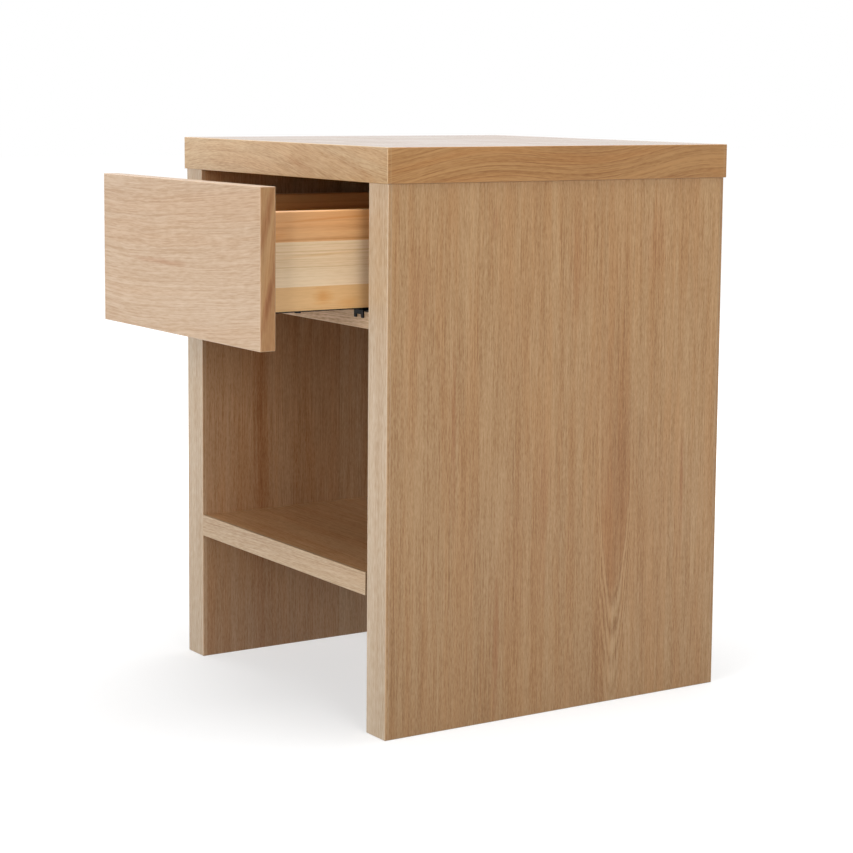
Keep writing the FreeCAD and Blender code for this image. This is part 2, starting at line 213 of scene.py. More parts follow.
grainTurns = {  # turns a piece so that its grain runs along Z of the pattern
    "upright": (0, 0, 0),
    "level": (0, math.radians(90), 0),
    "deep": (math.radians(90), 0, 0),
}

grainSockets = {  # the grain group's inputs, and the values of a look that go there
    "Ring Width": "ringWidth", "Bend": "bend", "Bend Length": "bendLength", "Ripple": "ripple",
    "Ripple Length": "rippleLength", "Sway": "sway", "Sway Length": "swayLength",
    "Sway Start": "swayStart", "Fibre Width": "fibreWidth", "Fibre Length": "fibreLength",
    "Band Width": "bandWidth", "Broken": "broken",
}

growth = {  # how every log grows; lengths in mm
    "bendSlimness": 0.35, "rippleSlimness": 0.4,    # width of a bend beside its length
    "yearLine": ((0.0, 0.75), (0.08, 1.0), (0.38, 0.25), (0.8, 0.0), (1.0, 0.75)),
    "yearUneven": 1.6, "yearRun": 0.45,             # in years, and how soon it changes
    "yearStrength": (0.3, 1.0),                     # of the weakest and the strongest line
    "gapWidth": 7.0, "gapLength": 150.0, "gapDepth": 0.25,
    "poreWidth": 0.42, "poreLength": 3.5, "latePores": 0.35,   # beside those near a line
    "shortFibres": (0.42, 1.0), "longFibres": (0.32, 5.0),  # share, and length in fibre lengths
    "boardFibres": (0.26, 36.0),
    "bandLength": 22.0, "tintWidth": 0.7, "tintLength": 16.0,  # in band widths
}


# effects that several finishes share

def strayed(tree, ins):
    # how far the grain strays sideways: a slow bend, a short ripple and one even sway
    moved = shifted(tree, ins["Vector"], ins["Seed"], 0, 4)
    bent = ins["Vector"]
    for amount, slimness, detail, row in (("Bend", growth["bendSlimness"], 1.0, 6),
                                          ("Ripple", growth["rippleSlimness"], 2.0, 9)):
        run = ins[amount + " Length"]
        width = calc(tree, "MULTIPLY", run, slimness, 1, row)
        noise = noiseIn(tree, stretch(tree, moved, width, run, 2, row), 5, row, detail=detail)
        stray = vectorCalc(tree, "SUBTRACT", noise["Color"], (0.5, 0.5, 0.5), 6, row)
        bent = vectorCalc(tree, "ADD", bent, scaled(tree, stray, ins[amount], 7, row), 8, row)
    along = partsOf(tree, ins["Vector"], 1, 12)["Z"]
    turns = calc(tree, "DIVIDE", calc(tree, "SUBTRACT", along, ins["Sway Start"], 2, 12),
                 ins["Sway Length"], 3, 12)
    wave = calc(tree, "COSINE", calc(tree, "MULTIPLY", turns, 2 * math.pi, 4, 12), 0.0, 5, 12)
    sway = calc(tree, "MULTIPLY", wave, ins["Sway"], 6, 12)
    return vectorCalc(tree, "ADD", bent, joined(tree, sway, sway, 0.0, 7, 12), 9, 2)


def yearLines(tree, ins, bent, seeded):
    # one dark line a year, of uneven width and strength, broken here and there
    radius = lengthOf(tree, vectorCalc(tree, "MULTIPLY", bent, (1, 1, 0), 10, 0), 11, 0)
    age = calc(tree, "DIVIDE", radius, ins["Ring Width"], 12, 0)
    uneven = put(tree, "TexNoise", 13, 1, {"W": age, "Scale": growth["yearRun"], "Detail": 1.0},
                 noise_dimensions="1D").outputs[0]
    age = calc(tree, "ADD", age, calc(tree, "MULTIPLY", uneven, growth["yearUneven"], 14, 1), 15, 0)
    line = gradient(tree, calc(tree, "FRACT", age, 0.0, 16, 0),
                    [(at, (level, level, level, 1)) for at, level in growth["yearLine"]], 17, 0, "EASE")
    years = put(tree, "TexWhiteNoise", 17, 2, {"W": calc(tree, "FLOOR", age, 0.0, 16, 2)},
                noise_dimensions="1D").outputs["Value"]
    strength = reach(tree, years, 0.0, 1.0, *growth["yearStrength"], 18, 2)
    gaps = stretch(tree, seeded, growth["gapWidth"], growth["gapLength"], 14, 4)
    gaps = reach(tree, noiseIn(tree, gaps, 17, 4)[0], 0.35, 0.6, growth["gapDepth"], 1.0, 18, 4)
    strength = calc(tree, "MULTIPLY", strength, gaps, 19, 2)
    strength = put(tree, "Mix", 20, 2, {"Factor": ins["Broken"], 2: 1.0, 3: strength},
                   data_type="FLOAT").outputs[0]
    return calc(tree, "MULTIPLY", line, strength, 21, 0)


def makeGrainGroup():
    # wood sawn from a log whose pith runs along Z through the origin; lengths in millimetres
    group, ins, outs = newGroup("Wood Grain", {
        "Vector": ("Vector", None), "Face": ("Vector", None), "Seed": ("Float", 0.0),
        **{socket: ("Float", oak[key]) for socket, key in grainSockets.items()},
    }, {name: ("Float", None) for name in ("Rings", "Fibres", "Pores", "Bands", "Tint")})
    tree = group
    bent = strayed(tree, ins)
    # fibres vary across the face but hardly into the wood, so a leaning log doesn't cut them short
    seeded = shifted(tree, vectorCalc(tree, "MULTIPLY", bent, ins["Face"], 10, 5), ins["Seed"], 11, 5)
    rings = yearLines(tree, ins, bent, seeded)
    tree.links.new(rings, outs["Rings"])

    # short fibres, longer ones and streaks that run most of the board
    fibre = 0.0
    for key, row in (("shortFibres", 7), ("longFibres", 8), ("boardFibres", 10)):
        share, times = growth[key]
        run = calc(tree, "MULTIPLY", ins["Fibre Length"], times, 10, row)
        noise = noiseIn(tree, stretch(tree, seeded, ins["Fibre Width"], run, 11, row), 14, row,
                        roughness=0.6)[0]
        fibre = calc(tree, "ADD", fibre, calc(tree, "MULTIPLY", noise, share, 15, row), 16, row)
    tree.links.new(reach(tree, fibre, 0.37, 0.63, 0.0, 1.0, 17, 7), outs["Fibres"])

    pore = noiseIn(tree, stretch(tree, seeded, growth["poreWidth"], growth["poreLength"], 11, 9), 14, 9)[0]
    pore = reach(tree, pore, 0.58, 0.70, 0.0, 1.0, 15, 9)
    early = reach(tree, rings, 0.0, 0.8, growth["latePores"], 1.0, 21, 9)
    tree.links.new(calc(tree, "MULTIPLY", pore, early, 22, 9), outs["Pores"])

    bandRun = calc(tree, "MULTIPLY", ins["Band Width"], growth["bandLength"], 10, 11)
    band = noiseIn(tree, stretch(tree, seeded, ins["Band Width"], bandRun, 11, 11), 14, 11, detail=2.0)[0]
    tree.links.new(reach(tree, band, 0.3, 0.7, 0.0, 1.0, 15, 11), outs["Bands"])
    tintRun = calc(tree, "MULTIPLY", ins["Band Width"], growth["tintLength"], 10, 13)
    tintWidth = calc(tree, "MULTIPLY", ins["Band Width"], growth["tintWidth"], 10, 14)
    tint = noiseIn(tree, stretch(tree, seeded, tintWidth, tintRun, 11, 13), 14, 13, detail=3.0,
                   roughness=0.6)[0]
    tree.links.new(reach(tree, tint, 0.42, 0.62, 0.0, 1.0, 15, 13), outs["Tint"])
    return group


edgeLine = {"breaks": 160.0, "width": (0.6, 1.4)}  # in a metre, and beside the even width


def makeEdgeGroup():
    # 1 on the arrises of a squared piece, fading to 0 this far in, with a broken line
    group, ins, outs = newGroup("Eased Edges", {
        "Vector": ("Vector", None), "Low Corner": ("Vector", None), "High Corner": ("Vector", None),
        "Width": ("Float", 0.002)}, {"Edge": ("Float", None)})
    tree = group
    below = vectorCalc(tree, "SUBTRACT", ins["Vector"], ins["Low Corner"], 0, 0)
    above = vectorCalc(tree, "SUBTRACT", ins["High Corner"], ins["Vector"], 0, 1)
    parts = partsOf(tree, vectorCalc(tree, "MINIMUM", below, above, 1, 0), 2, 0)
    lower = calc(tree, "MINIMUM", parts[0], parts[1], 3, 0)
    upper = calc(tree, "MAXIMUM", parts[0], parts[1], 3, 1)
    second = calc(tree, "MAXIMUM", lower, calc(tree, "MINIMUM", upper, parts[2], 4, 1), 5, 0)
    noise = noiseIn(tree, ins["Vector"], 4, 3, scale=edgeLine["breaks"], detail=2.0)[0]
    uneven = reach(tree, noise, 0.3, 0.7, *edgeLine["width"], 5, 3)
    width = calc(tree, "MULTIPLY", ins["Width"], uneven, 6, 2)
    share = calc(tree, "DIVIDE", second, width, 7, 0)
    tree.links.new(reach(tree, share, 0.0, 1.0, 1.0, 0.0, 8, 0), outs["Edge"])
    return group


cloud = {"scale": 9.0, "detail": 4.0, "distortion": 0.6}


def makeFinishGroup():
    # cloudy wipe marks and a fine orange peel that a sprayed finish has
    group, ins, outs = newGroup("Spray Finish", {
        "Vector": ("Vector", None), "Peel Size": ("Float", 1.5)},
        {"Clouds": ("Float", None), "Peel": ("Float", None)})
    tree = group
    clouds = noiseIn(tree, ins["Vector"], 1, 0, **cloud)[0]
    tree.links.new(reach(tree, clouds, 0.3, 0.7, 0.0, 1.0, 2, 0), outs["Clouds"])
    density = calc(tree, "DIVIDE", metre, ins["Peel Size"], 1, 2)
    tree.links.new(noiseIn(tree, ins["Vector"], 2, 2, scale=density)[0], outs["Peel"])
    return group


veneerSeam = {
    "fade": (0.15, 0.5),    # in mm from its middle, where it begins to fade and where it is gone
    "leavesBefore": 100.0,  # counted in, so that ping-pong never meets a number below 0
}


def makeLeafGroup():
    # strips of veneer laid side by side, each with its own tone and a hairline between them
    group, ins, outs = newGroup("Veneer Leaves", {
        "Vector": ("Vector", None), "Width": ("Float", 84.0), "Start": ("Float", 0.0),
        "Seed": ("Float", 0.0)}, {"Tone": ("Float", None), "Seam": ("Float", None)})
    tree = group
    across = partsOf(tree, ins["Vector"], 0, 0)["Y"]
    count = calc(tree, "DIVIDE", calc(tree, "SUBTRACT", across, ins["Start"], 1, 0), ins["Width"], 2, 0)
    number = calc(tree, "ADD", calc(tree, "FLOOR", count, 0.0, 3, 0), ins["Seed"], 4, 0)
    tone = put(tree, "TexWhiteNoise", 5, 0, {"W": number}, noise_dimensions="1D").outputs["Value"]
    tree.links.new(tone, outs["Tone"])
    counted = calc(tree, "ADD", count, veneerSeam["leavesBefore"], 3, 2)
    fromSeam = calc(tree, "MULTIPLY", calc(tree, "PINGPONG", counted, 0.5, 4, 2), ins["Width"], 5, 2)
    tree.links.new(reach(tree, fromSeam, *veneerSeam["fade"], 1.0, 0.0, 6, 2), outs["Seam"])
    return group


streakRim = {  # widths and lengths in mm, the rest beside the streak's own size
    "rag": 1.4, "ragWidth": 2.0, "ragLength": 18.0, "fade": (0.8, 1.8),
}


def makeStreakGroup():
    # a smudge with a ragged rim: resin in pine, a mineral streak in oak; it may slant off the grain
    group, ins, outs = newGroup("Streak", {
        "Vector": ("Vector", None), "Along": ("Float", 0.0), "Across": ("Float", 0.0),
        "Length": ("Float", 20.0), "Height": ("Float", 7.0), "Slant": ("Float", 0.0),
        "Seed": ("Float", 0.0)}, {"Streak": ("Float", None)})
    tree = group
    centre = joined(tree, 0.0, ins["Across"], ins["Along"], 0, 0)
    parts = partsOf(tree, vectorCalc(tree, "SUBTRACT", ins["Vector"], centre, 1, 0), 2, 0)
    across = calc(tree, "SUBTRACT", parts[1], calc(tree, "MULTIPLY", parts[2], ins["Slant"], 3, 1), 4, 0)
    across = calc(tree, "DIVIDE", across, ins["Height"], 5, 0)
    along = calc(tree, "DIVIDE", parts[2], ins["Length"], 4, 1)
    away = lengthOf(tree, joined(tree, 0.0, across, along, 6, 0), 7, 0)
    moved = shifted(tree, ins["Vector"], ins["Seed"], 0, 3)
    rag = stretch(tree, moved, streakRim["ragWidth"], streakRim["ragLength"], 2, 3)
    rag = calc(tree, "MULTIPLY", noiseIn(tree, rag, 5, 3, detail=3.0)[0], streakRim["rag"], 6, 3)
    total = calc(tree, "ADD", away, rag, 8, 0)
    tree.links.new(reach(tree, total, *streakRim["fade"], 1.0, 0.0, 9, 0), outs["Streak"])
    return group


tongue = {  # a pair is the stretch over which something fades in or out
    "stray": 2.2, "strayWidth": 9.0, "strayLength": 90.0,    # of the rim, in mm
    "rim": (-0.05, 0.13), "lineCrowding": 22.0,
    "linesBegin": (-1.5, -0.3), "linesStop": (0.0, 0.1),     # outside the rim and just inside it
    "bodyTop": (0.9, 3.4), "linesTop": (0.5, 1.6),           # in tongue lengths above the tip
}


def makeFlameGroup():
    # the tongue left where a leaf of veneer cuts along the heart of the log, and the lines around it
    group, ins, outs = newGroup("Flame", {
        "Vector": ("Vector", None), "Tip": ("Float", 0.0), "Across": ("Float", 0.0),
        "Half Width": ("Float", 18.0), "Length": ("Float", 150.0), "Seed": ("Float", 0.0)},
        {"Flame": ("Float", None), "Lines": ("Float", None)})
    tree = group
    start = joined(tree, 0.0, ins["Across"], ins["Tip"], 0, 0)
    parts = partsOf(tree, vectorCalc(tree, "SUBTRACT", ins["Vector"], start, 1, 0), 2, 0)
    moved = shifted(tree, ins["Vector"], ins["Seed"], 0, 3)
    stray = stretch(tree, moved, tongue["strayWidth"], tongue["strayLength"], 2, 3)
    stray = noiseIn(tree, stray, 5, 3, detail=2.0)[0]
    stray = reach(tree, stray, 0.2, 0.8, -tongue["stray"], tongue["stray"], 6, 3)
    across = calc(tree, "DIVIDE", calc(tree, "ADD", parts[1], stray, 7, 0), ins["Half Width"], 8, 0)
    along = calc(tree, "DIVIDE", parts[2], ins["Length"], 7, 1)
    across = calc(tree, "MULTIPLY", across, across, 9, 0)
    # above 0 within the rim, which is a parabola as far up as one tongue length
    inside = calc(tree, "SUBTRACT", calc(tree, "MINIMUM", along, 1.0, 8, 1), across, 10, 0)
    body = calc(tree, "MULTIPLY", reach(tree, inside, *tongue["rim"], 0.0, 1.0, 11, 0),
                reach(tree, along, *tongue["bodyTop"], 1.0, 0.0, 11, 1), 12, 0)
    tree.links.new(body, outs["Flame"])
    wave = calc(tree, "MULTIPLY", inside, tongue["lineCrowding"], 11, 2)
    wave = calc(tree, "COSINE", wave, 0.0, 12, 2)
    near = calc(tree, "MULTIPLY", reach(tree, inside, *tongue["linesBegin"], 0.0, 1.0, 11, 3),
                reach(tree, inside, *tongue["linesStop"], 1.0, 0.0, 11, 4), 12, 3)
    low = calc(tree, "MULTIPLY", near, reach(tree, along, *tongue["linesTop"], 1.0, 0.0, 11, 5), 13, 3)
    tree.links.new(calc(tree, "MULTIPLY", wave, low, 14, 2), outs["Lines"])
    return group


grainGroup = makeGrainGroup()
leafGroup = makeLeafGroup()
streakGroup = makeStreakGroup()
flameGroup = makeFlameGroup()
edgeGroup = makeEdgeGroup()
finishGroup = makeFinishGroup()
print("nightstand: shared effects made")


# wood

def grainAt(tree, look, seed, middle, column, row):
    # millimetres from the piece's middle, turned into the run of the grain, then from the pith
    coords = put(tree, "TexCoord", column, row).outputs["Object"]
    turn = Euler(grainTurns[look["grain"]])
    centre = turn.to_matrix() @ (Vector(middle) * -metre)
    board = put(tree, "Mapping", column + 1, row, {
        "Vector": coords, "Scale": (metre, metre, metre), "Rotation": turn, "Location": centre}).outputs[0]
    # the way into the wood is squeezed, whichever face it is
    normal = put(tree, "TexCoord", column, row + 2).outputs["Normal"]
    inward = put(tree, "Mapping", column + 1, row + 2, {"Vector": normal, "Rotation": turn}).outputs[0]
    inward = put(tree, "VectorMath", column + 2, row + 2, {0: inward}, operation="ABSOLUTE").outputs[0]
    face = put(tree, "VectorMath", column + 2, row + 3, {
        0: inward, 1: (-look["inward"], -look["inward"], 0), 2: (1, 1, 1)},
        operation="MULTIPLY_ADD").outputs[0]
    lean = [math.radians(angle) for angle in look["lean"]]
    away = [-side for side in look["pith"]]
    leaning = put(tree, "Mapping", column + 2, row, {
        "Vector": board, "Location": (away[0], away[1], 0), "Rotation": (lean[0], lean[1], 0)}).outputs[0]
    values = {socket: look[key] for socket, key in grainSockets.items()}
    marks = place(tree, grainGroup, column + 3, row,
                  {"Vector": leaning, "Face": face, "Seed": seed, **values})
    return coords, board, marks


def figure(tree, look, marks, column, row):
    # one number for how dark the wood is here, 0.5 on average
    total = None
    for name, share, middle in (("Rings", look["rings"], 0.3), ("Fibres", look["fibres"], 0.5),
                                ("Bands", look["bands"], 0.5), ("Pores", look["pores"], 0.05)):
        centred = calc(tree, "SUBTRACT", marks[name], middle, column, row)
        weighed = calc(tree, "MULTIPLY", centred, share, column + 1, row)
        total = weighed if total is None else calc(tree, "ADD", total, weighed, column + 2, row)
        row += 1
    return calc(tree, "ADD", total, 0.5, column + 3, row)


def stain(tree, look, marks, dark, column, row):
    # the wood's colour from pale to dark, with redder stretches
    colour = gradient(tree, dark, [(at, shade(look["tone"], factors)) for at, factors in look["darkness"]],
                      column, row)
    warm = calc(tree, "MULTIPLY", marks["Tint"], look["redness"], column - 1, row + 2)
    return tinted(tree, warm, colour, look["redTint"], column + 1, row)


def addLeaves(tree, colour, look, board):
    leaf = place(tree, leafGroup, 8, 11, {"Vector": board, "Width": look["leafWidth"],
                                          "Start": look["leafStart"], "Seed": look["leafSeed"]})
    redder = calc(tree, "MULTIPLY", leaf["Tone"], look["leafContrast"], 9, 11)
    colour = tinted(tree, redder, colour, look["leafTint"], 10, 11)
    line = calc(tree, "MULTIPLY", leaf["Seam"], look["seam"], 9, 12)
    return tinted(tree, line, colour, look["seamTint"], 11, 11)


def addStreaks(tree, colour, look, board, seed, column, row):
    # a streak lies across Y of the pattern, so where the face shows X the two change places
    if look["streaks"] and look["across"] == "X":
        sides = partsOf(tree, board, column - 2, row)
        board = joined(tree, sides[1], sides[0], sides[2], column - 1, row)
    for along, across, length, height, slant, strength in look["streaks"]:
        streak = place(tree, streakGroup, column, row, {
            "Vector": board, "Along": along, "Across": across, "Length": length, "Height": height,
            "Slant": slant, "Seed": seed})[0]
        share = calc(tree, "MULTIPLY", streak, strength, column + 1, row)
        colour = tinted(tree, share, colour, look["streakTint"], column + 2, row)
        row += 1
    return colour


def addPaintedLightSlope(tree, colour, look, board):
    # painted light and shade: paler towards one end or side
    slope = tuple(rate / metre for rate in look["paintedLightSlope"])
    rise = put(tree, "VectorMath", 8, 13, {0: board, 1: slope}, operation="DOT_PRODUCT").outputs["Value"]
    return scaled(tree, colour, calc(tree, "ADD", rise, 1.0, 9, 13), 10, 13)


def addEnds(tree, colour, look, seed, middle):
    # another board's grain on the faces that look left and right
    board, marks = grainAt(tree, look, seed, middle, 0, 6)[1:]
    endColour = stain(tree, look, marks, figure(tree, look, marks, 4, 6), 9, 4)
    endColour = addStreaks(tree, endColour, look, board, seed, 10, 24)
    normal = put(tree, "TexCoord", 4, 5).outputs["Normal"]
    turned = calc(tree, "ABSOLUTE", partsOf(tree, normal, 5, 5)["X"], 0.0, 6, 5)
    isEnd = reach(tree, turned, 0.6, 0.8, 0.0, 1.0, 7, 5)
    return blend(tree, isEnd, colour, endColour, 11, 1)


def addEdgeHighlights(tree, colour, look, coords, box):
    # painted highlight: paler along the arrises
    edge = place(tree, edgeGroup, 10, 3, {"Vector": coords, "Low Corner": box[0],
                                          "High Corner": box[1], "Width": look["edgeWidth"]})[0]
    paler = calc(tree, "MULTIPLY", edge, look["edgeHighlight"], 11, 3)
    return blend(tree, paler, colour, shade(look["tone"], look["edgeHighlightTint"]), 12, 0)


def woodSurface(tree, look, coords, marks):
    # the roughness, and the normal over open pores, raised fibres and the finish
    finish = place(tree, finishGroup, 10, 6, {"Vector": coords, "Peel Size": look["peelSize"]})
    low, high = look["roughness"]
    rough = calc(tree, "ADD", calc(tree, "MULTIPLY", finish["Clouds"], 0.5, 11, 6),
                 calc(tree, "MULTIPLY", marks["Fibres"], 0.5, 11, 7), 12, 6)
    rough = reach(tree, rough, 0.2, 0.8, low, high, 13, 6)
    height = calc(tree, "MULTIPLY", marks["Pores"], -1.0, 12, 8)
    height = calc(tree, "ADD", height,
                  calc(tree, "MULTIPLY", marks["Fibres"], look["fibreHeight"], 12, 9), 13, 8)
    height = calc(tree, "ADD", height,
                  calc(tree, "MULTIPLY", finish["Peel"], look["peelHeight"], 13, 9), 14, 8)
    bump = put(tree, "Bump", 15, 7, {"Strength": look["relief"], "Distance": look["reliefDepth"],
                                     "Height": height})
    return rough, bump.outputs[0]


def woodMaterial(name, look, seed, box, ends=None):
    # box gives the middle and the arrises; ends is what the left and right faces wear instead:
    # a look, its seed and the middle that its grain is measured from
    material, tree = newMaterial(name)
    coords, board, marks = grainAt(tree, look, seed, middleOf(box), 0, 0)
    dark = figure(tree, look, marks, 4, 0)
    if look["flame"]:
        tip, across, halfWidth, length = look["flame"]
        flame = place(tree, flameGroup, 4, 14, {"Vector": board, "Tip": tip, "Across": across,
                                                "Half Width": halfWidth, "Length": length, "Seed": seed})
        lines = calc(tree, "MULTIPLY", flame["Lines"], look["flameLines"], 6, 15)
        dark = calc(tree, "ADD", dark, lines, 7, 14)
    colour = stain(tree, look, marks, dark, 9, 0)
    if look["leafContrast"]:
        colour = addLeaves(tree, colour, look, board)
    if look["flame"]:
        colour = tinted(tree, flame["Flame"], colour, look["flameTint"], 10, 14)
    colour = addStreaks(tree, colour, look, board, seed, 8, 16)
    if any(look["paintedLightSlope"]):
        colour = addPaintedLightSlope(tree, colour, look, board)
    if ends:
        colour = addEnds(tree, colour, *ends)
    colour = addEdgeHighlights(tree, colour, look, coords, box)
    rough, normal = woodSurface(tree, look, coords, marks)
    shader = put(tree, "BsdfPrincipled", 16, 0, {
        "Base Color": colour, "Roughness": rough, "Normal": normal,
        "Coat Weight": look["coat"], "Coat Roughness": look["coatRoughness"]})
    endWith(tree, shader, 18)
    return material


def dressWood(node, name, look, seed, ends=None):
    box = tuple(tuple(corner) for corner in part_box(node))
    dress(node, woodMaterial(name, look, seed, box, ends))


# the top: a level-grained field with edges that have more figure
topField = dict(oak, grain="level", tone=(0.235, 0.157, 0.103), ringWidth=6.0, rings=0.2, relief=0.06,
                coat=0.45)
# the front edge's slope is painted light: paler towards one end
topFront = dict(oak, grain="level", tone=(0.377, 0.248, 0.126), paintedLightSlope=(0.0, 0.0, 0.32), pith=(-120, 20),
                ringWidth=4.5, bendLength=150.0, sway=-30.0, swayLength=760.0, swayStart=110.0,
                rings=0.2, fibres=0.64, bands=0.16, redness=0.4, across="X",
                streakTint=(0.78, 0.62, 0.44), streaks=(
                    (-38.0, -3.5, 34.0, 4.2, 0.25, 0.75), (-162.0, -9.0, 34.0, 4.2, 0.3, 0.65),
                    (-105.0, 6.0, 30.0, 3.0, 0.25, 0.4)))
topSide = dict(oak, grain="deep", tone=(0.370, 0.182, 0.058), pith=(10, -90), lean=(-4.0, 0.0),
               ringWidth=4.8, bend=3.5, bendLength=120.0, ripple=0.6, sway=6.5, swayLength=260.0,
               swayStart=-94.0, broken=0.6, rings=0.52, fibres=0.58, bands=0.6, bandWidth=13.0)
dressWood("top_panel", "Oak Top Field", topField, 11.0)
topEnds = (topSide, 35.0, middleOf(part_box("top_lipping_right")))
dressWood("top_front_lipping", "Oak Top Front Edge", topFront, 23.0, topEnds)
dressWood("top_back_lipping", "Oak Top Back Edge", topFront, 61.0, topEnds)
dressWood("top_lipping_right", "Oak Top Right Edge", topSide, 35.0)
dressWood("top_lipping_left", "Oak Top Left Edge", topSide, 77.0)

# side panels: straight upright grain, with one flame low down towards the back of the right one
# the panel's slope is painted light: paler towards the top and the back
sidePanel = dict(oak, tone=(0.395, 0.230, 0.103), pith=(19.3, 67), lean=(0.0, -4.0), ringWidth=4.2,
                 bend=5.0, bendLength=420.0, ripple=0.3, rippleLength=70.0, rings=0.10,
                 fibreLength=5.5, fibreWidth=0.85, bandWidth=14.0,
                 paintedLightSlope=(0.0, 0.28, 0.30), flame=(-156.0, 67.0, 18.0, 110.0),
                 streakTint=(0.80, 0.60, 0.46), streaks=(
                     (-185.0, -73.0, 85.0, 4.0, 0.0, 0.8), (25.0, -124.0, 105.0, 3.6, 0.0, 0.7),
                     (-40.0, 152.0, 70.0, 3.6, 0.0, 0.7), (195.0, 112.0, 50.0, 14.0, 0.0, 0.35),
                     (150.0, -166.0, 70.0, 13.0, 0.0, 0.35), (175.0, 17.0, 70.0, 11.0, 0.0, 0.4),
                     (220.0, -79.0, 18.0, 4.0, 0.0, 0.6), (-50.0, -19.0, 100.0, 7.0, 0.0, 0.4)))
# painted light: a paler, greyer tone than the right panel's, for light on its shaded inside; its slope is
# painted shade, darker towards the bottom
leftPanel = dict(sidePanel, tone=(0.405, 0.253, 0.140), paintedLightSlope=(0.0, 0.0, 0.5), flame=(),
                 leafStart=-114.0, leafSeed=3.0, leafContrast=0.6, seam=0.5,
                 streaks=((0.0, -128.0, 330.0, 12.0, 0.0, 0.5),))
# the edge's slope is painted light: paler towards the top
uprightEdge = dict(oak, tone=(0.380, 0.286, 0.193), paintedLightSlope=(0.0, 0.0, 0.2), ringWidth=4.0,
                   rings=0.15, fibres=0.6, redness=0.25)
for side, panelLook, seed in (("left", leftPanel, 5.0), ("right", sidePanel, 141.0)):
    panel = "side_panel_" + side
    dressWood(panel, "Oak Panel " + side.title(), panelLook, seed)
    overEdge = (panelLook, seed, middleOf(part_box(panel)))
    for edge, more in (("front", 9.0), ("back", 19.0)):
        dressWood(panel + "_" + edge + "_lipping", "Oak Panel " + (edge + " edge " + side).title(),
                  uprightEdge, seed + more, overEdge)

# divider, shelf and back
insideBoard = dict(oak, grain="level", tone=(0.372, 0.207, 0.098), ringWidth=8.0, rings=0.2,
                   bend=12.0, bendLength=200.0)
levelEdge = dict(oak, grain="level", tone=(0.328, 0.222, 0.126), pith=(-80, 0), ringWidth=3.6,
                 lean=(0.0, 2.0), redness=0.3)
# painted light: about twice as pale a tone as the shelf's edge, for light on this edge where it lies in
# shade under the drawer
dividerEdge = dict(levelEdge, tone=(0.66, 0.44, 0.255))
backBoard = dict(oak, tone=(0.42, 0.25, 0.13), ringWidth=9.0, rings=0.25, roughness=(0.4, 0.55))
dressWood("divider_board", "Oak Divider", insideBoard, 43.0)
dressWood("divider_lipping", "Oak Divider Edge", dividerEdge, 47.0)
dressWood("shelf_board", "Oak Shelf", insideBoard, 91.0)
dressWood("shelf_lipping", "Oak Shelf Edge", levelEdge, 97.0)
dressWood("back_panel", "Oak Back Board", backBoard, 103.0)

# drawer front: level, gently rippled grain; its ends are banded with upright grain
# the drawer front's slope is painted light: paler towards one end
drawerFront = dict(oak, grain="level", across="X", tone=(0.387, 0.262, 0.162), paintedLightSlope=(0.0, 0.0, 0.13),
                   pith=(-190, 30), lean=(0.0, 1.0), ringWidth=4.8, bend=7.0, bendLength=130.0,
                   ripple=1.2, rippleLength=28.0, sway=9.0, swayLength=700.0, swayStart=80.0,
                   fibreWidth=1.2, fibreLength=14.0, rings=0.16, fibres=0.5, bands=0.15, redness=0.3,
                   streakTint=(0.80, 0.62, 0.48), streaks=((31.0, -6.0, 70.0, 3.0, 0.0, 0.9),))
drawerFrontEnd = dict(oak, tone=(0.34, 0.179, 0.069), pith=(30, 25), lean=(6.0, 0.0), ringWidth=8.0,
                      rings=0.4, fibres=0.4, bands=0.4, bandWidth=9.0, streakTint=(0.68, 0.47, 0.30),
                      streaks=((46.0, -1.0, 50.0, 4.4, 0.22, 0.9), (-30.0, 0.0, 50.0, 3.8, 0.24, 1.0)))
dressWood("drawer_front", "Oak Drawer Front", drawerFront, 57.0,
          (drawerFrontEnd, 94.0, middleOf(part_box("drawer_front"))))
print("nightstand: oak dressed")

# drawer box: pine boards glued up from staves, a plywood bottom and beech dowels
pine = dict(oak, ringWidth=4.2, bend=3.0, bendLength=120.0, ripple=0.4, rippleLength=40.0,
            fibreLength=12.0, rings=0.35, fibres=0.18, pores=0.0,
            redness=0.2, roughness=(0.34, 0.48), relief=0.08, edgeHighlight=0.15)
staveLooks = {
    "upper": dict(pine, tone=(0.61, 0.32, 0.13), pith=(6, 22), ringWidth=9.0, rings=0.5, redness=0.6),
    "middle": dict(pine, tone=(0.70, 0.515, 0.32), pith=(0, -60), ringWidth=3.4, rings=0.32),
    "lower": dict(pine, tone=(0.655, 0.40, 0.178), ringWidth=16.0, rings=0.3),
}
resinAt = {  # on the drawer's sides
    "lower": ((-117.0, -1.0, 12.0, 9.0, 0.0, 0.7), (-88.0, 5.0, 16.0, 6.0, 0.0, 0.45)),
    "middle": ((-110.0, -9.0, 60.0, 1.6, -0.06, 0.35),),
    "upper": ((-110.0, -6.5, 70.0, 1.3, -0.05, 0.6), (-172.0, 9.0, 26.0, 7.0, 0.0, 0.5)),
}
boxBoards = {  # the run of the grain, and the first stave's seed
    "drawer_side_left": ("deep", 3.0), "drawer_side_right": ("deep", 29.0),
    "drawer_box_front": ("level", 53.0),
}
for board, (grain, seed) in boxBoards.items():
    for stave, look in staveLooks.items():
        node = board + "_" + stave + "_stave"
        resin = resinAt[stave] if grain == "deep" else ()
        dressWood(node, "Pine " + node.replace("_", " ").title(), dict(look, grain=grain, streaks=resin),
                  seed)
        seed += 7.0
for stave, look, seed in (("lower", "middle", 71.0), ("upper", "upper", 83.0)):
    dressWood("drawer_box_back_" + stave + "_stave", "Pine Drawer Box Back " + stave.title(),
              dict(staveLooks[look], grain="level"), seed)
